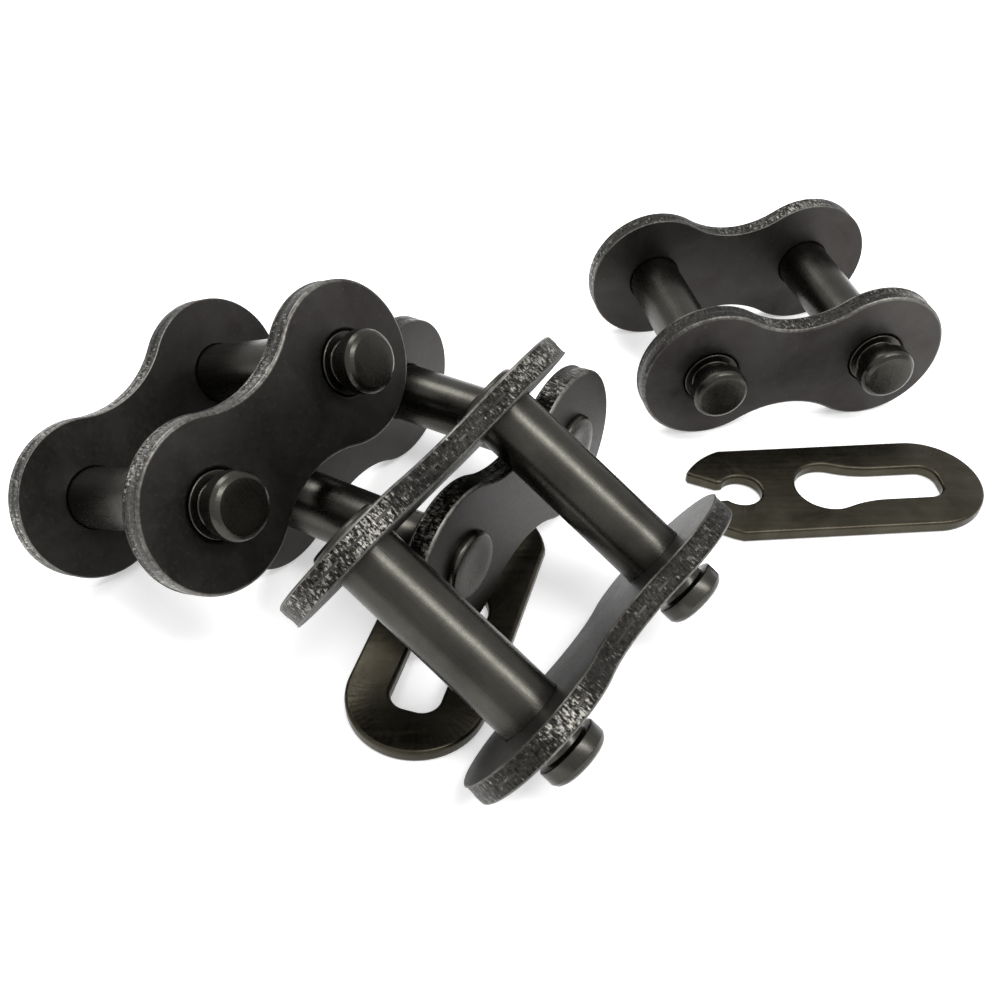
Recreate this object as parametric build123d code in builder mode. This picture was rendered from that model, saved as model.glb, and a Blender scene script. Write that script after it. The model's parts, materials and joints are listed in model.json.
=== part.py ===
# Four spring-clip connecting links of a 3/4 inch pitch roller chain, with two loose spring clips,
# lying together on a flat surface. Millimetres, +Z up, the surface at Z = 0.
# Each link is a riveted rear plate with two grooved pins and a cover plate that slips over the pins.
import os
from math import asin, degrees, sqrt

from build123d import *

os.makedirs("parts", exist_ok=True)

# Chain size
pitch = 19.05
inner_gap = 17.9            # between the facing sides of a link's two plates
pin_diameter = 5.94

# Plates
plate_thickness = 2.2
lobe_radius = 7.75
waist_half_height = 5.0
rim_radius = 0.3            # tumbled edge
cover_clearance = 0.04      # radial, so the cover plate slips off by hand

# Pins
cover_play = 0.1            # from the cover plate to the groove
groove_diameter = 4.2
groove_play = 0.15          # groove wider than the clip is thick
nose_length = 1.9           # beyond the groove
nose_chamfer = 0.6
rivet_height = 0.75
rivet_spread = 0.4          # peened edge beyond the pin's own radius
rivet_chamfer = 0.3

# Spring clips
clip_thickness = 1.4
clip_half_width = 6.4
clip_web = 4.4              # from the slot to the closed end
clip_edge = 0.35
slot_clearance = 0.2        # radial, round the groove
slot_corner = 1.7
entry_clearance = 0.43      # radial, round the whole pin
blend_radius = 12.0         # between the entry hole and the slot
entry_to_end = 9.75         # entry hole's centre to where the groove seats
notch_clearance = 0.05
throat_half_width = 1.33
throat_reach = 2.35         # from the notch's centre
prong_reach = 5.3
prong_tip_height = 2.9
prong_shoulder = 1.05       # where the straight side ends, from the notch's centre
prong_bulge = 0.35
prong_tip_radius = 0.35

# How the pieces lie
rest_gap = 0.05             # kept between a link and the clip it stands on
set_middle_x = 6.3
set_middle_y = 84.7

# Pins' groove, and what fits it
groove_width = clip_thickness + groove_play
pin_radius = pin_diameter / 2
groove_radius = groove_diameter / 2
groove_start = inner_gap / 2 + plate_thickness + cover_play
nose_start = groove_start + groove_width
pin_end = nose_start + nose_length
outer_face = inner_gap / 2 + plate_thickness

# One plate's lobes run into its waist along a round of this radius
waist_drop = lobe_radius - waist_half_height
waist_radius = (pitch**2 / 4 + waist_half_height**2 - lobe_radius**2) / (2 * waist_drop)
waist_centre = waist_half_height + waist_radius
tangent_share = lobe_radius / (lobe_radius + waist_radius)
tangent_x = pitch / 2 * (1 - tangent_share)
tangent_y = waist_centre * tangent_share

# A link that stands on the floor at one plate and on a clip at the other leans by this much
clip_lean = degrees(asin((clip_thickness + rest_gap) / (inner_gap + plate_thickness)))

# Link B's cover plate stands on the floor and its pins lean on link C's rear plate
prop_height = pin_diameter / 2 + clip_thickness + (inner_gap / 2 + plate_thickness) / 4
prop_reach = 14.19
prop_lean = degrees(asin(prop_height / prop_reach))

# Each link's middle, the heading of its row of pins, the rise of that row, and the rise of the pins
# towards the cover plate, in degrees. Link C lies with its rear plate on the clip.
link_places = {
    "link_a": (-24.25, 81.4, 59.1, 8.3, 26.4),
    "link_b": (4.0, 64.9, 53.4, 6.0, -prop_lean),
    "link_c": (-4.4, 81.6, 237.5, 0.0, -clip_lean),
    "link_d": (33.5, 109.8, 10.8, 0.0, 0.0),
}

# Each clip's entry hole, and the heading of its closed end
clip_places = {
    "spring_clip_1": (-1.6, 69.5, -107.2),
    "spring_clip_2": (37.85, 86.7, 4.1),
}


def link_plane(place):
    """X along the row of pins, Z along the pins towards the cover plate; the link's lowest point is at Z = 0."""
    x, y, heading, rise, lean = place
    row = Vector(1, 0, 0).rotate(Axis.Y, -rise).rotate(Axis.Z, heading)
    pins = Vector(0, -1, 0).rotate(Axis.X, -lean).rotate(Axis.Y, -rise).rotate(Axis.Z, heading)
    height = (
        pitch / 2 * abs(row.Z)
        + (outer_face - rim_radius) * abs(pins.Z)
        + (lobe_radius - rim_radius) * sqrt(1 - pins.Z**2)
        + rim_radius
    )
    return Plane(origin=(x - set_middle_x, y - set_middle_y, height), x_dir=row, z_dir=pins)


def finish(piece, name):
    piece.part.label = name
    export_step(piece.part, f"parts/{name}.step")


def plate_outline():
    with BuildLine() as outline:
        ThreePointArc((tangent_x, tangent_y), (pitch / 2 + lobe_radius, 0), (tangent_x, -tangent_y))
        ThreePointArc((tangent_x, -tangent_y), (0, -waist_half_height), (-tangent_x, -tangent_y))
        ThreePointArc((-tangent_x, -tangent_y), (-pitch / 2 - lobe_radius, 0), (-tangent_x, tangent_y))
        ThreePointArc((-tangent_x, tangent_y), (0, waist_half_height), (tangent_x, tangent_y))
    return outline.edges()


def make_plate(name, plane, near_face, hole_radius):
    """A figure-eight plate from near_face outwards along the plane's normal, with its two pin holes."""
    with BuildPart() as plate:
        with BuildSketch(plane.offset(near_face)):
            make_face(plate_outline())
        extrude(amount=plate_thickness)
        fillet(plate.edges(), radius=rim_radius)
        with BuildSketch(plane.offset(near_face)):
            with Locations((-pitch / 2, 0), (pitch / 2, 0)):
                Circle(hole_radius)
        extrude(amount=plate_thickness, mode=Mode.SUBTRACT)
    finish(plate, name)


def make_pin(name, plane, side):
    """A pin riveted over behind the rear plate, with the clip's groove near its free end."""
    head_radius = pin_radius + rivet_spread
    axis_point = plane.from_local_coords((side * pitch / 2, 0, 0))
    axis_plane = Plane(origin=axis_point, x_dir=plane.x_dir, z_dir=-plane.y_dir)
    with BuildPart() as pin:
        with BuildSketch(axis_plane):
            with BuildLine():
                Polyline(
                    (0, -outer_face - rivet_height),
                    (head_radius - rivet_chamfer, -outer_face - rivet_height),
                    (head_radius, -outer_face - rivet_height + rivet_chamfer),
                    (head_radius, -outer_face),
                    (pin_radius, -outer_face),
                    (pin_radius, groove_start),
                    (groove_radius, groove_start),
                    (groove_radius, nose_start),
                    (pin_radius, nose_start),
                    (pin_radius, pin_end - nose_chamfer),
                    (pin_radius - nose_chamfer, pin_end),
                    (0, pin_end),
                    close=True,
                )
            make_face()
        revolve(axis=Axis(axis_plane.origin, plane.z_dir))
    finish(pin, name)


def clip_outline(notch_x, closed_x):
    """The clip's outside: a round closed end, straight sides, and two prongs round the snap notch."""
    shoulder = (notch_x - prong_shoulder, clip_half_width)
    tip = (notch_x - prong_reach, prong_tip_height)
    bulge = ((shoulder[0] + tip[0]) / 2 - prong_bulge, (shoulder[1] + tip[1]) / 2 + prong_bulge)
    throat = (notch_x - throat_reach, throat_half_width)
    end_centre = closed_x - clip_half_width
    with BuildLine() as outline:
        ThreePointArc((end_centre, -clip_half_width), (closed_x, 0), (end_centre, clip_half_width))
        Line((end_centre, clip_half_width), shoulder)
        ThreePointArc(shoulder, bulge, tip)
        Line(tip, throat)
        Line(throat, (throat[0], -throat[1]))
        Line((throat[0], -throat[1]), (tip[0], -tip[1]))
        ThreePointArc((tip[0], -tip[1]), (bulge[0], -bulge[1]), (shoulder[0], -shoulder[1]))
        Line((shoulder[0], -shoulder[1]), (end_centre, -clip_half_width))
    return outline.edges()


def make_clip(name, place):
    """A flat clip with a keyhole slot for one pin's groove and a snap notch for the other's."""
    x, y, heading = place
    plane = Plane(origin=(x - set_middle_x, y - set_middle_y, 0)).rotated((0, 0, heading))
    slot_half_width = groove_radius + slot_clearance
    slot_end = entry_to_end + slot_half_width
    notch_x = entry_to_end - pitch
    with BuildPart() as clip:
        with BuildSketch(plane) as outside:
            make_face(clip_outline(notch_x, slot_end + clip_web))
            fillet(outside.vertices().sort_by(Axis.X)[:2], prong_tip_radius)
        extrude(amount=clip_thickness)
        fillet(clip.faces().filter_by(Plane.XY).edges(), radius=clip_edge)
        with BuildSketch(plane) as keyhole:
            Circle(pin_radius + entry_clearance)
            with Locations((slot_end / 2, 0)):
                Rectangle(slot_end, 2 * slot_half_width)
            fillet(keyhole.vertices().sort_by(Axis.X)[:2], blend_radius)
            fillet(keyhole.vertices().sort_by(Axis.X)[-2:], slot_corner)
        extrude(amount=clip_thickness, mode=Mode.SUBTRACT)
        with BuildSketch(plane):
            with Locations((notch_x, 0)):
                Circle(groove_radius + notch_clearance)
            with Locations((notch_x - throat_reach / 2, 0)):
                Rectangle(throat_reach + clip_edge, 2 * throat_half_width)
        extrude(amount=clip_thickness, mode=Mode.SUBTRACT)
    finish(clip, name)


for link, place in link_places.items():
    plane = link_plane(place)
    make_plate(f"{link}_rear_plate", plane, -outer_face, pin_radius)
    make_plate(f"{link}_cover_plate", plane, inner_gap / 2, pin_radius + cover_clearance)
    make_pin(f"{link}_pin_1", plane, -1)
    make_pin(f"{link}_pin_2", plane, 1)

for name, place in clip_places.items():
    make_clip(name, place)
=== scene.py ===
import bpy
import bmesh
import json
from math import asin, atan2, cos, hypot, pi, radians, sin
from mathutils import Matrix, Vector, noise


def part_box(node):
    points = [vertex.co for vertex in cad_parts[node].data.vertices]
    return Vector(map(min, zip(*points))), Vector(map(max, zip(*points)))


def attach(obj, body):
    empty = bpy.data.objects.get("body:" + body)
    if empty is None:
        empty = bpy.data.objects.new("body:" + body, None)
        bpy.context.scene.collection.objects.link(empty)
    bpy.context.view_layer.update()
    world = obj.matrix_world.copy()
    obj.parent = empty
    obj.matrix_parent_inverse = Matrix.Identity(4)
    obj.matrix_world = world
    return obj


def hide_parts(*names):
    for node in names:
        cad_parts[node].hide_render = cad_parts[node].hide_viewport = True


# Lengths are in millimetres up to placePiece, which makes them metres

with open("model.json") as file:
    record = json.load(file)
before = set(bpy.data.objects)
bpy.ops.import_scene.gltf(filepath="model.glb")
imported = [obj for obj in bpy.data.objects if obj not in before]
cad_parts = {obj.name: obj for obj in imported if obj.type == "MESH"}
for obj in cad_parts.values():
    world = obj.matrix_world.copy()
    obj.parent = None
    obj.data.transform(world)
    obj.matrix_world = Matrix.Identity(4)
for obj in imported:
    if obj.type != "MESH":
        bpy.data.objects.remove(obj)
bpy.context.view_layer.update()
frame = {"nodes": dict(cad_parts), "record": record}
print("frame:", len(frame["nodes"]), "nodes")

millimetre = 0.001
linkNames = ["link_a", "link_b", "link_c", "link_d"]


# Where each link lies, from the boxes of its CAD pieces

def nodeMiddle(node):
    low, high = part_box(node)
    return (low + high) / 2


def linkMatrix(link):
    rear = nodeMiddle(link + "_rear_plate")
    cover = nodeMiddle(link + "_cover_plate")
    row = (nodeMiddle(link + "_pin_2") - nodeMiddle(link + "_pin_1")).normalized()
    pins = (cover - rear).normalized()
    across = pins.cross(row).normalized()
    turn = Matrix((row, across, pins)).transposed().to_4x4()
    return Matrix.Translation((rear + cover) / 2) @ turn


def placePiece(bm, name, place, materials):
    bmesh.ops.recalc_face_normals(bm, faces=bm.faces)
    mesh = bpy.data.meshes.new(name)
    bmesh.ops.transform(bm, matrix=place @ Matrix.Scale(millimetre, 4), verts=bm.verts)
    bm.to_mesh(mesh)
    bm.free()
    mesh.shade_smooth()
    piece = bpy.data.objects.new(name + "_finished", mesh)
    bpy.context.scene.collection.objects.link(piece)
    for material in materials:
        mesh.materials.append(material)
    tidyNormals = piece.modifiers.new("tidyNormals", "WEIGHTED_NORMAL")
    tidyNormals.keep_sharp = True
    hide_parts(name)
    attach(piece, bodyOf[name])


bodyOf = {node: body for body, nodes in frame["record"]["behaviour"]["bodies"].items() for node in nodes}


# Materials

def newMaterial(name):
    material = bpy.data.materials.new(name)
    material.use_nodes = True
    tree = material.node_tree
    tree.nodes.clear()
    output = tree.nodes.new("ShaderNodeOutputMaterial")
    shader = tree.nodes.new("ShaderNodeBsdfPrincipled")
    tree.links.new(shader.outputs["BSDF"], output.inputs["Surface"])
    return material, tree, shader


def addNode(tree, kind, **settings):
    node = tree.nodes.new(kind)
    for key, value in settings.items():
        setattr(node, key, value)
    return node


def coordinates(tree, scale, source="Object", turn=0.0):
    texture = addNode(tree, "ShaderNodeTexCoord")
    mapping = addNode(tree, "ShaderNodeMapping")
    mapping.inputs["Scale"].default_value = scale
    mapping.inputs["Rotation"].default_value = (0, 0, turn)
    tree.links.new(texture.outputs[source], mapping.inputs["Vector"])
    return mapping.outputs["Vector"]


def noiseAt(tree, vector, scale, detail=4.0, roughness=0.6, distortion=0.0):
    node = addNode(tree, "ShaderNodeTexNoise")
    node.inputs["Scale"].default_value = scale
    node.inputs["Detail"].default_value = detail
    node.inputs["Roughness"].default_value = roughness
    node.inputs["Distortion"].default_value = distortion
    tree.links.new(vector, node.inputs["Vector"])
    return node.outputs["Fac"]


def rangeOf(tree, value, low, high, toLow, toHigh):
    node = addNode(tree, "ShaderNodeMapRange")
    for key, number in (("From Min", low), ("From Max", high), ("To Min", toLow), ("To Max", toHigh)):
        node.inputs[key].default_value = number
    tree.links.new(value, node.inputs["Value"])
    return node.outputs["Result"]


def mixColours(tree, factor, first, second):
    node = addNode(tree, "ShaderNodeMix", data_type="RGBA")
    for socket, value in ((node.inputs[0], factor), (node.inputs[6], first), (node.inputs[7], second)):
        if isinstance(value, tuple):
            socket.default_value = (*value, 1.0)
        else:
            tree.links.new(value, socket)
    return node.outputs[2]


def maths(tree, operation, first, second):
    node = addNode(tree, "ShaderNodeMath", operation=operation)
    for socket, value in ((node.inputs[0], first), (node.inputs[1], second)):
        if isinstance(value, (int, float)):
            socket.default_value = value
        else:
            tree.links.new(value, socket)
    return node.outputs[0]


def bumpFrom(tree, shader, heights):
    # each height is (value, strength, distance in metres), the coarsest first
    normal = None
    for value, strength, distance in heights:
        node = addNode(tree, "ShaderNodeBump")
        node.inputs["Strength"].default_value = strength
        node.inputs["Distance"].default_value = distance
        tree.links.new(value, node.inputs["Height"])
        if normal:
            tree.links.new(normal, node.inputs["Normal"])
        normal = node.outputs["Normal"]
    tree.links.new(normal, shader.inputs["Normal"])


def blendOf(tree, first, share, second):
    # share of the first and the rest of the second
    part = maths(tree, "MULTIPLY", first, share)
    return maths(tree, "ADD", part, maths(tree, "MULTIPLY", second, 1 - share))


plateFinish = {
    "dark": (0.034, 0.0305, 0.0295),
    "light": (0.060, 0.0565, 0.0535),
    "worn": (0.20, 0.195, 0.175),
    "roughLow": 0.36,
    "roughHigh": 0.50,
    "grain": 2600.0,            # noise scales, per metre
    "cloud": 140.0,
    "speckMost": 0.25,
    "grainInRoughness": 0.5,
    "cloudBump": (0.12, 0.0002),
    "grainBump": (0.12, 0.00004),
    "wearRange": (0.85, 1.2, 0.15, 0.9),    # from low and high, to low and high
}


def makePlateSteel():
    v = plateFinish
    material, tree, shader = newMaterial("plateSteel")
    vector = coordinates(tree, (1, 1, 1))
    cloud = noiseAt(tree, vector, v["cloud"], detail=5.0, roughness=0.62, distortion=0.4)
    grain = noiseAt(tree, vector, v["grain"], detail=3.0, roughness=0.7)
    base = mixColours(tree, rangeOf(tree, cloud, 0.3, 0.7, 0.0, 1.0), v["dark"], v["light"])
    speck = mixColours(tree, rangeOf(tree, grain, 0.6, 0.85, 0.0, v["speckMost"]), base, v["worn"])
    colour = mixColours(tree, wornEdge(tree, grain, cloud), speck, v["worn"])
    tree.links.new(colour, shader.inputs["Base Color"])
    mixed = blendOf(tree, grain, v["grainInRoughness"], cloud)
    rough = rangeOf(tree, mixed, 0.35, 0.65, v["roughLow"], v["roughHigh"])
    tree.links.new(rough, shader.inputs["Roughness"])
    shader.inputs["Metallic"].default_value = 1.0
    bumpFrom(tree, shader, [(cloud, *v["cloudBump"]), (grain, *v["grainBump"])])
    return material


def wornEdge(tree, grain, cloud):
    # the rolled edges are rubbed brighter, in broken stretches
    edge = addNode(tree, "ShaderNodeAttribute", attribute_name="edgeWear").outputs["Fac"]
    broken = rangeOf(tree, maths(tree, "ADD", grain, cloud), *plateFinish["wearRange"])
    return maths(tree, "MULTIPLY", edge, broken)


rimFinish = {
    "dark": (0.007, 0.0065, 0.006),
    "light": (0.042, 0.0405, 0.036),
    "bright": (0.50, 0.485, 0.44),
    "patch": 130.0,
    "pit": 3000.0,
    "streaks": (4.6, 1.2, 1),   # per millimetre along the rim and through it
    "streakShare": 0.62,
    "patchLift": (0.35, 0.65, -0.09, 0.05),
    "glintRange": (0.52, 0.64, 0.0, 0.85),
    "roughRange": (0.35, 0.65, 0.30, 0.55),
    "streakBump": (0.5, 0.00014),
    "pitBump": (0.5, 0.00010),
}


def makeRimSteel():
    # fine tears through the thickness, glinting in patches
    v = rimFinish
    material, tree, shader = newMaterial("shearedSteel")
    vector = coordinates(tree, (1, 1, 1))
    across = coordinates(tree, v["streaks"], source="UV")
    patch = noiseAt(tree, vector, v["patch"], detail=2.0, roughness=0.5)
    pit = noiseAt(tree, vector, v["pit"], detail=3.0, roughness=0.75)
    streak = noiseAt(tree, across, 1.0, detail=4.0, roughness=0.75, distortion=0.3)
    torn = blendOf(tree, streak, v["streakShare"], pit)
    base = mixColours(tree, rangeOf(tree, torn, 0.40, 0.60, 0.0, 1.0), v["dark"], v["light"])
    sparkle = maths(tree, "ADD", torn, rangeOf(tree, patch, *v["patchLift"]))
    glint = rangeOf(tree, sparkle, *v["glintRange"])
    tree.links.new(mixColours(tree, glint, base, v["bright"]), shader.inputs["Base Color"])
    tree.links.new(rangeOf(tree, pit, *v["roughRange"]), shader.inputs["Roughness"])
    shader.inputs["Metallic"].default_value = 1.0
    bumpFrom(tree, shader, [(streak, *v["streakBump"]), (pit, *v["pitBump"])])
    return material


pinFinish = {
    "dark": (0.034, 0.0325, 0.0285),
    "light": (0.064, 0.062, 0.054),
    "roughLow": 0.22,
    "roughHigh": 0.37,
    "cloud": 220.0,
    "grain": 3000.0,
    "groundStretch": (0.6, 6.0, 1),     # grinding lines round the pin
    "ground": 1.6,
    "scuffStretch": (5.0, 0.16, 1),     # scuffs along it
    "scuff": 1.3,
    "scuffInTint": 0.25,
    "scuffInRoughness": 0.5,
    "cloudBump": (0.06, 0.0002),
    "scuffBump": (0.10, 0.00005),
    "groundBump": (0.08, 0.00003),
    "grainBump": (0.12, 0.00002),
}


def makePinSteel():
    v = pinFinish
    material, tree, shader = newMaterial("pinSteel")
    vector = coordinates(tree, (1, 1, 1))
    around = coordinates(tree, v["groundStretch"], source="UV")
    lengthwise = coordinates(tree, v["scuffStretch"], source="UV")
    ground = noiseAt(tree, around, v["ground"], detail=3.0, roughness=0.65)
    scuff = noiseAt(tree, lengthwise, v["scuff"], detail=5.0, roughness=0.65, distortion=0.5)
    cloud = noiseAt(tree, vector, v["cloud"], detail=4.0, roughness=0.6)
    grain = noiseAt(tree, vector, v["grain"], detail=3.0, roughness=0.7)
    tint = rangeOf(tree, blendOf(tree, scuff, v["scuffInTint"], cloud), 0.3, 0.7, 0.0, 1.0)
    tree.links.new(mixColours(tree, tint, v["dark"], v["light"]), shader.inputs["Base Color"])
    mixed = blendOf(tree, scuff, v["scuffInRoughness"], grain)
    rough = rangeOf(tree, mixed, 0.3, 0.7, v["roughLow"], v["roughHigh"])
    tree.links.new(rough, shader.inputs["Roughness"])
    shader.inputs["Metallic"].default_value = 1.0
    fineBumps = [(scuff, *v["scuffBump"]), (ground, *v["groundBump"]), (grain, *v["grainBump"])]
    bumpFrom(tree, shader, [(cloud, *v["cloudBump"])] + fineBumps)
    return material


clipFinish = {
    "dark": (0.030, 0.0265, 0.0185),
    "light": (0.064, 0.058, 0.043),
    "roughLow": 0.28,
    "roughHigh": 0.44,
    "cloud": 170.0,
    "grain": 2600.0,
    "brushStretch": (120, 2400, 1200),
    "cloudInTint": 0.8,
    "brushInRoughness": 0.4,
    "cloudBump": (0.15, 0.0002),
    "brushBump": (0.1, 0.00003),
    "grainBump": (0.12, 0.00003),
}


def makeClipSteel(name, heading):
    v = clipFinish
    material, tree, shader = newMaterial("springSteel_" + name)
    vector = coordinates(tree, (1, 1, 1))
    brushed = coordinates(tree, v["brushStretch"], turn=-radians(heading))
    cloud = noiseAt(tree, vector, v["cloud"], detail=5.0, roughness=0.6, distortion=0.5)
    brush = noiseAt(tree, brushed, 1.0, detail=3.0, roughness=0.6)
    grain = noiseAt(tree, vector, v["grain"], detail=3.0, roughness=0.7)
    tint = rangeOf(tree, blendOf(tree, cloud, v["cloudInTint"], brush), 0.35, 0.65, 0.0, 1.0)
    tree.links.new(mixColours(tree, tint, v["dark"], v["light"]), shader.inputs["Base Color"])
    mixed = blendOf(tree, brush, v["brushInRoughness"], grain)
    rough = rangeOf(tree, mixed, 0.35, 0.65, v["roughLow"], v["roughHigh"])
    tree.links.new(rough, shader.inputs["Roughness"])
    shader.inputs["Metallic"].default_value = 1.0
    fineBumps = [(brush, *v["brushBump"]), (grain, *v["grainBump"])]
    bumpFrom(tree, shader, [(cloud, *v["cloudBump"])] + fineBumps)
    return material


# Shapes

def arc(bm, vert, centre, angle, steps):
    middle = (centre[0], centre[1], 0)
    turned = bmesh.ops.spin(bm, geom=[vert], cent=middle, axis=(0, 0, 1), angle=angle, steps=steps)
    return [item for item in turned["geom_last"] if isinstance(item, bmesh.types.BMVert)][0]


def lineTo(bm, vert, point):
    end = bm.verts.new((point[0], point[1], 0))
    bm.edges.new((vert, end))
    return end


def shapeRim(bm, faces, roll, segments):
    # a quarter round inwards and up from the region's edge
    reached = 0.0
    raised = 0.0
    for step in range(1, segments + 1):
        angle = pi / 2 * step / segments
        inward = roll * (1 - cos(angle))
        upward = roll * sin(angle)
        bmesh.ops.inset_region(bm, faces=faces, thickness=inward - reached, depth=upward - raised,
                               use_boundary=True, use_even_offset=True)
        reached = inward
        raised = upward


def thicken(bm, thickness, lowRoll, highRoll, rings, segments):
    # the filled outline becomes a slab from 0 to thickness with both edges rolled
    bmesh.ops.translate(bm, verts=bm.verts, vec=(0, 0, lowRoll))
    low = bm.faces[:]
    grown = bmesh.ops.extrude_face_region(bm, geom=low)["geom"]
    high = [item for item in grown if isinstance(item, bmesh.types.BMFace)]
    bmesh.ops.translate(bm, verts=[item for item in grown if isinstance(item, bmesh.types.BMVert)],
                        vec=(0, 0, thickness - lowRoll - highRoll))
    bmesh.ops.recalc_face_normals(bm, faces=bm.faces)
    upright = [edge for edge in bm.edges if abs(edge.verts[0].co.z - edge.verts[1].co.z) > thickness / 4]
    bmesh.ops.subdivide_edges(bm, edges=upright, cuts=rings, use_grid_fill=True)
    shapeRim(bm, [face for face in low if face.is_valid], lowRoll, segments)
    shapeRim(bm, high, highRoll, segments)


plateSize = {
    "pitch": 19.05,
    "lobeRadius": 7.75,
    "waistHalfHeight": 5.0,
    "thickness": 2.2,
    "holeRadius": 2.99,
    "holeSteps": 72,
    "punchedRoll": 0.38,        # the edge that the punch rounded
    "burrRoll": 0.16,
    "lobeSteps": 46,
    "waistSteps": 14,
    "rings": 7,
    "rollSteps": 4,
    "roughness": 0.05,
    "tear": 0.07,               # how far the torn part of the rim steps in
    "tearFrom": 0.45,
    "tearFade": 0.12,
    "lumps": 1.1,               # per millimetre
    "fineLumps": 3.1,           # to each lump
    "seedStep": 7.3,
    "holeKeep": 1.25,           # of the hole's radius, kept smooth
    "holeUnworn": 1.2,          # of the hole's radius, not rubbed bright
    "rimSlope": 0.35,           # steepest normal of a vertex on the rim
    "wornSlopes": (0.2, 0.97),
    "lobeShare": 0.57,          # of half the pitch, where a lobe meets the waist
    "lobeLayout": 60,           # keeps lobes and waists apart in the layout
    "waistLayout": 30,
}


def plateOutline(bm):
    v = plateSize
    half = v["pitch"] / 2
    waistDrop = v["lobeRadius"] - v["waistHalfHeight"]
    waistRadius = (half**2 + v["waistHalfHeight"]**2 - v["lobeRadius"]**2) / (2 * waistDrop)
    waistCentre = v["waistHalfHeight"] + waistRadius
    lobeAngle = atan2(waistCentre, -half)
    waistAngle = pi / 2 - atan2(waistCentre, half)
    start = bm.verts.new((half + v["lobeRadius"], 0, 0))
    turned = arc(bm, start, (half, 0), lobeAngle, v["lobeSteps"])
    arc(bm, turned, (0, waistCentre), -waistAngle, v["waistSteps"])
    bmesh.ops.mirror(bm, geom=bm.verts[:] + bm.edges[:], axis="X", merge_dist=0.001)
    bmesh.ops.mirror(bm, geom=bm.verts[:] + bm.edges[:], axis="Y", merge_dist=0.001)
    bmesh.ops.remove_doubles(bm, verts=bm.verts, dist=0.002)


def roughenRim(bm, seed, burrAtLow):
    # a punched rim is smooth where the punch cut and torn towards the burr
    v = plateSize
    half = v["pitch"] / 2
    bm.normal_update()
    moves = []
    for vert in bm.verts:
        fromHole = min(hypot(vert.co.x - half, vert.co.y), hypot(vert.co.x + half, vert.co.y))
        if abs(vert.normal.z) > v["rimSlope"] or fromHole < v["holeRadius"] * v["holeKeep"]:
            continue
        depth = vert.co.z / v["thickness"]
        torn = (1 - depth) if burrAtLow else depth
        torn = min(max((torn - v["tearFrom"]) / v["tearFade"], 0.0), 1.0)
        point = vert.co * v["lumps"] + Vector((seed * v["seedStep"], 0, 0))
        coarse = noise.noise(point)
        fine = noise.noise(point * v["fineLumps"])
        move = v["roughness"] * (coarse * 0.6 + fine * (0.25 + 0.75 * torn) - 0.5) - v["tear"] * torn
        moves.append((vert, vert.normal.copy() * min(move, 0.0)))
    for vert, move in moves:
        vert.co += move


def rimLayout(bm):
    # U runs along the rim and V through the plate, both in millimetres
    v = plateSize
    half = v["pitch"] / 2
    layout = bm.loops.layers.uv.new("UVMap")
    wear = bm.verts.layers.float.new("edgeWear")
    flattest, steepest = v["wornSlopes"]
    for vert in bm.verts:
        outside = hypot(abs(vert.co.x) - half, vert.co.y) > v["holeRadius"] * v["holeUnworn"]
        vert[wear] = 1.0 if outside and flattest < abs(vert.normal.z) < steepest else 0.0
    for face in bm.faces:
        rim = abs(face.normal.z) < 0.8
        middle = face.calc_center_median()
        side = 1 if middle.x > 0 else -1
        upper = 1 if middle.y > 0 else -1
        inLobe = abs(middle.x) > half * v["lobeShare"]
        face.material_index = 1 if rim and abs(face.normal.z) < 0.25 else 0
        for loop in face.loops:
            co = loop.vert.co
            if not rim:
                loop[layout].uv = (co.x, co.y)
            elif inLobe:
                angle = atan2(co.y, (co.x - side * half) * side)
                loop[layout].uv = (angle * v["lobeRadius"] + side * v["lobeLayout"], co.z)
            else:
                loop[layout].uv = (co.x + upper * v["waistLayout"], co.z)


def makePlate(name, place, nearFace, burrAtLow, seed, materials):
    v = plateSize
    bm = bmesh.new()
    plateOutline(bm)
    for side in (-1, 1):
        bmesh.ops.create_circle(bm, segments=v["holeSteps"], radius=v["holeRadius"],
                                matrix=Matrix.Translation((side * v["pitch"] / 2, 0, 0)))
    bmesh.ops.triangle_fill(bm, use_beauty=True, edges=bm.edges[:], normal=(0, 0, 1))
    low, high = (v["burrRoll"], v["punchedRoll"]) if burrAtLow else (v["punchedRoll"], v["burrRoll"])
    thicken(bm, v["thickness"], low, high, v["rings"], v["rollSteps"])
    bmesh.ops.recalc_face_normals(bm, faces=bm.faces)
    roughenRim(bm, seed, burrAtLow)
    bm.normal_update()
    rimLayout(bm)
    bmesh.ops.translate(bm, verts=bm.verts, vec=(0, 0, nearFace))
    placePiece(bm, name, place, materials)


pinSize = {
    "radius": 2.97,
    "rearFace": -11.15,
    "rivetRadius": 3.37,
    "rivetHeight": 0.75,
    "rivetDimple": 0.12,
    "rivetEdge": 0.3,
    "grooveStart": 11.25,
    "grooveEnd": 12.8,
    "grooveRadius": 2.1,
    "end": 14.7,
    "chamfer": 0.6,
    "steps": 96,
    "softCorner": 0.08,
    "grooveCorner": 0.1,
    "breakEdge": 0.05,
    "breakAngle": 0.35,         # a sharper corner than this is broken, in radians
    "endHollow": 0.03,
}


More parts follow.
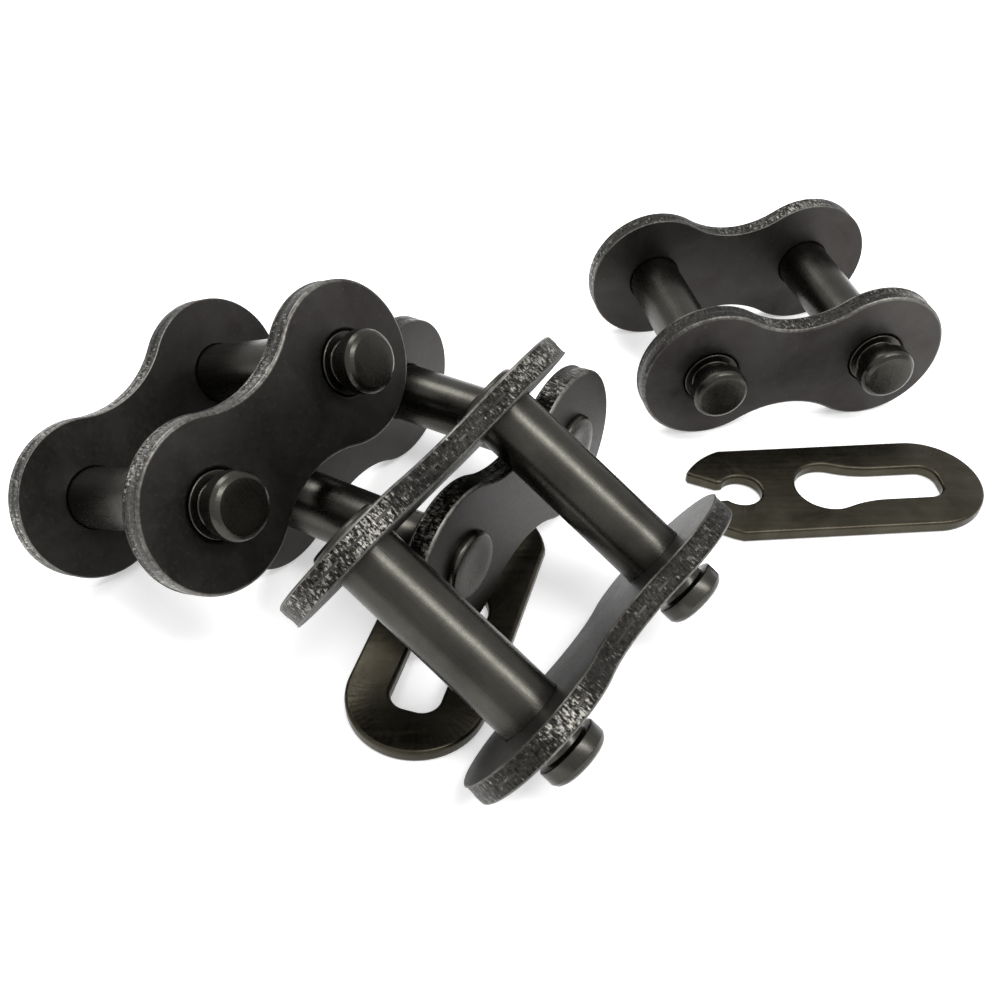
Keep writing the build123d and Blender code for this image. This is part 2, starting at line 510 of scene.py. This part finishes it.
def makePin(name, place, side, materials):
    v = pinSize
    back = v["rearFace"] - v["rivetHeight"]
    soft = v["softCorner"]
    corner = v["grooveCorner"]
    bm = bmesh.new()
    profile = [
        (0, back + v["rivetDimple"]),
        (v["radius"] * 0.45, back + v["rivetDimple"] * 0.6),
        (v["radius"] * 0.72, back),
        (v["rivetRadius"] - v["rivetEdge"], back + 0.05),
        (v["rivetRadius"] - 0.06, back + v["rivetEdge"]),
        (v["rivetRadius"], v["rearFace"]),
        (v["radius"], v["rearFace"]),
        (v["radius"], v["grooveStart"] - soft),
        (v["radius"] - soft, v["grooveStart"]),
        (v["grooveRadius"] + corner, v["grooveStart"]),
        (v["grooveRadius"], v["grooveStart"] + corner),
        (v["grooveRadius"], v["grooveEnd"] - corner),
        (v["grooveRadius"] + corner, v["grooveEnd"]),
        (v["radius"] - soft, v["grooveEnd"]),
        (v["radius"], v["grooveEnd"] + soft),
        (v["radius"], v["end"] - v["chamfer"]),
        (v["radius"] - v["chamfer"] * 0.38, v["end"] - v["chamfer"] * 0.38),
        (v["radius"] - v["chamfer"], v["end"]),
        (v["radius"] * 0.5, v["end"] - 0.02),
        (0, v["end"] - v["endHollow"]),
    ]
    line = [bm.verts.new((r, 0, z)) for r, z in profile]
    edges = [bm.edges.new(pair) for pair in zip(line, line[1:])]
    bmesh.ops.spin(bm, geom=line + edges, axis=(0, 0, 1), angle=2 * pi, steps=v["steps"], use_merge=True)
    bmesh.ops.remove_doubles(bm, verts=bm.verts, dist=0.0005)
    bmesh.ops.recalc_face_normals(bm, faces=bm.faces)
    joined = [edge for edge in bm.edges if len(edge.link_faces) == 2]
    corners = [edge for edge in joined if edge.calc_face_angle() > v["breakAngle"]]
    bmesh.ops.bevel(bm, geom=corners, offset=v["breakEdge"], segments=2, profile=0.5,
                    affect="EDGES", material=-1)
    layout = bm.loops.layers.uv.new("UVMap")
    for face in bm.faces:
        middle = face.calc_center_median()
        around = atan2(middle.y, middle.x)
        onEnd = abs(face.normal.z) > 0.9
        for loop in face.loops:
            co = loop.vert.co
            if onEnd:
                loop[layout].uv = (co.x, co.y * 0.4)
                continue
            angle = atan2(co.y, co.x)
            angle += 2 * pi * round((around - angle) / (2 * pi))
            loop[layout].uv = (angle * v["radius"], co.z)
    bmesh.ops.translate(bm, verts=bm.verts, vec=(side * plateSize["pitch"] / 2, 0, 0))
    placePiece(bm, name, place, materials)


clipSize = {
    "thickness": 1.4,
    "halfWidth": 6.4,
    "web": 4.4,
    "slotHalfWidth": 2.3,
    "slotCorner": 1.7,
    "entryRadius": 3.4,
    "entryToEnd": 9.75,
    "notchRadius": 2.15,
    "throatHalfWidth": 1.33,
    "throatReach": 2.35,
    "prongReach": 5.3,
    "prongTipHeight": 2.9,
    "prongShoulder": 1.05,
    "prongBow": 0.49,
    "prongTipCut": 0.43,
    "blendRadius": 12.0,
    "edgeRoll": 0.35,
    "closedSteps": 40,
    "prongSteps": 9,
    "prongTipSteps": 5,
    "notchSteps": 24,
    "entrySteps": 30,
    "blendSteps": 10,
    "cornerSteps": 14,
    "rings": 2,
    "rollSteps": 5,
}
clipHeadings = {"spring_clip_1": -107.2, "spring_clip_2": 4.1}


def clipOutline(bm):
    # the upper half of the outside, from the closed end's middle round to the notch's middle
    v = clipSize
    slotEnd = v["entryToEnd"] + v["slotHalfWidth"]
    notchX = v["entryToEnd"] - plateSize["pitch"]
    endCentre = slotEnd + v["web"] - v["halfWidth"]
    tip = Vector((notchX - v["prongReach"], v["prongTipHeight"]))
    shoulder = Vector((notchX - v["prongShoulder"], v["halfWidth"]))
    vert = bm.verts.new((endCentre + v["halfWidth"], 0, 0))
    vert = arc(bm, vert, (endCentre, 0), pi / 2, v["closedSteps"])
    vert = lineTo(bm, vert, shoulder)
    # one round from the straight side to the tip, bowed outwards by prongBow
    chord = tip - shoulder
    radius = (chord.length_squared / 4 + v["prongBow"]**2) / (2 * v["prongBow"])
    inward = Vector((-chord.y, chord.x)).normalized()
    centre = (shoulder + tip) / 2 + inward * (radius - v["prongBow"])
    tipVert = arc(bm, vert, centre, 2 * asin(chord.length / (2 * radius)), v["prongSteps"])
    throat = (notchX - v["throatReach"], v["throatHalfWidth"])
    vert = lineTo(bm, tipVert, throat)
    meet = notchX - (v["notchRadius"]**2 - v["throatHalfWidth"]**2) ** 0.5
    vert = lineTo(bm, vert, (meet, v["throatHalfWidth"]))
    begin = atan2(v["throatHalfWidth"], meet - notchX)
    arc(bm, vert, (notchX, 0), -begin, v["notchSteps"])
    bmesh.ops.bevel(bm, geom=[tipVert], offset=v["prongTipCut"], segments=v["prongTipSteps"],
                    profile=0.5, affect="VERTICES")
    return slotEnd


def keyhole(bm, slotEnd):
    # the upper half: entry round, an easy curve down to the slot, and the slot's corner
    v = clipSize
    vert = bm.verts.new((-v["entryRadius"], 0, 0))
    blend = v["blendRadius"]
    drop = v["slotHalfWidth"] + blend
    reach = ((v["entryRadius"] + blend) ** 2 - drop**2) ** 0.5
    leave = atan2(drop, reach)
    cornerX = slotEnd - v["slotCorner"]
    vert = arc(bm, vert, (0, 0), -(pi - leave), v["entrySteps"])
    vert = arc(bm, vert, (reach, drop), pi / 2 - leave, v["blendSteps"])
    vert = lineTo(bm, vert, (cornerX, v["slotHalfWidth"]))
    vert = arc(bm, vert, (cornerX, v["slotHalfWidth"] - v["slotCorner"]), -pi / 2, v["cornerSteps"])
    lineTo(bm, vert, (slotEnd, 0))


def makeClip(name, materials):
    v = clipSize
    bm = bmesh.new()
    slotEnd = clipOutline(bm)
    keyhole(bm, slotEnd)
    bmesh.ops.mirror(bm, geom=bm.verts[:] + bm.edges[:], axis="Y", merge_dist=0.001)
    bmesh.ops.remove_doubles(bm, verts=bm.verts, dist=0.002)
    bmesh.ops.triangle_fill(bm, use_beauty=True, edges=bm.edges[:], normal=(0, 0, 1))
    thicken(bm, v["thickness"], v["edgeRoll"], v["edgeRoll"], v["rings"], v["rollSteps"])
    turn = Matrix.Rotation(radians(clipHeadings[name]), 4, "Z")
    corners = [turn @ vert.co for vert in bm.verts]
    low = Vector((min(c.x for c in corners), min(c.y for c in corners), 0)) * millimetre
    high = Vector((max(c.x for c in corners), max(c.y for c in corners), 0)) * millimetre
    boxMiddle = nodeMiddle(name)
    offset = Vector((boxMiddle.x, boxMiddle.y, 0)) - (low + high) / 2
    placePiece(bm, name, Matrix.Translation(offset) @ turn, materials)


plateSteel = makePlateSteel()
rimSteel = makeRimSteel()
pinSteel = makePinSteel()
print("materials done")

outer = pinSize["rearFace"]
inner = -outer - plateSize["thickness"]
plateSteels = [plateSteel, rimSteel]
for index, link in enumerate(linkNames):
    place = linkMatrix(link)
    makePlate(link + "_rear_plate", place, outer, False, index, plateSteels)
    makePlate(link + "_cover_plate", place, inner, True, index + len(linkNames), plateSteels)
    makePin(link + "_pin_1", place, -1, [pinSteel])
    makePin(link + "_pin_2", place, 1, [pinSteel])
print("links done")

for name in clipHeadings:
    makeClip(name, [makeClipSteel(name, clipHeadings[name])])
print("clips done")


# Floor, light and camera

floorFinish = {
    "reach": 4.0,
    "grey": 0.9,
    "rough": 0.9,
    "glow": 0.4,                # lit a little from below, as a light table is
}


def makeFloor():
    v = floorFinish
    bm = bmesh.new()
    bmesh.ops.create_grid(bm, x_segments=1, y_segments=1, size=v["reach"])
    mesh = bpy.data.meshes.new("floor")
    bm.to_mesh(mesh)
    bm.free()
    floor = bpy.data.objects.new("floor", mesh)
    bpy.context.scene.collection.objects.link(floor)
    material, _, shader = newMaterial("paleFloor")
    shader.inputs["Base Color"].default_value = (v["grey"], v["grey"], v["grey"], 1.0)
    shader.inputs["Roughness"].default_value = v["rough"]
    shader.inputs["Specular IOR Level"].default_value = 0.0
    shader.inputs["Emission Color"].default_value = (1.0, 1.0, 1.0, 1.0)
    shader.inputs["Emission Strength"].default_value = v["glow"]
    mesh.materials.append(material)


studio = {
    "horizon": 0.8,             # how bright the room is low down and overhead
    "zenith": 1.1,
    "boxes": {
        # place in metres, size, turn in degrees, watts
        "side": ((0.26, -0.155, 0.42), (0.44, 0.07), 2.0, 1.7),
        "back": ((-0.20, 0.24, 0.42), (0.34, 0.18), -35.0, 1.5),
    },
}


def makeLights():
    v = studio
    world = bpy.data.worlds.new("studio")
    bpy.context.scene.world = world
    world.use_nodes = True
    tree = world.node_tree
    direction = addNode(tree, "ShaderNodeTexCoord").outputs["Generated"]
    split = addNode(tree, "ShaderNodeSeparateXYZ")
    tree.links.new(direction, split.inputs["Vector"])
    level = rangeOf(tree, split.outputs["Z"], 0.0, 1.0, v["horizon"], v["zenith"])
    tree.links.new(level, tree.nodes["Background"].inputs["Strength"])
    tree.nodes["Background"].inputs["Color"].default_value = (1.0, 1.0, 1.0, 1.0)
    for name, (place, size, turn, watts) in v["boxes"].items():
        light = bpy.data.lights.new(name, "AREA")
        light.shape = "RECTANGLE"
        light.size, light.size_y = size
        light.energy = watts
        box = bpy.data.objects.new(name, light)
        box.location = place
        box.rotation_euler = (0, 0, radians(turn))
        bpy.context.scene.collection.objects.link(box)


cameraValues = {
    "place": (-0.0063, -0.0847, 0.0807),
    "down": 43.02,
    "lens": 40.13,
    "sensor": 36.0,
    "near": 0.005,
    "shift": (0.0308, -0.0037),
}


def makeCamera():
    v = cameraValues
    data = bpy.data.cameras.new("camera")
    data.lens = v["lens"]
    data.sensor_width = v["sensor"]
    data.shift_x, data.shift_y = v["shift"]
    data.clip_start = v["near"]
    camera = bpy.data.objects.new("camera", data)
    camera.location = v["place"]
    camera.rotation_euler = (radians(90 - v["down"]), 0, 0)
    bpy.context.scene.collection.objects.link(camera)
    bpy.context.scene.camera = camera


makeFloor()
makeLights()
makeCamera()
bpy.context.scene.view_settings.view_transform = "Standard"
print("floor, light and camera done")
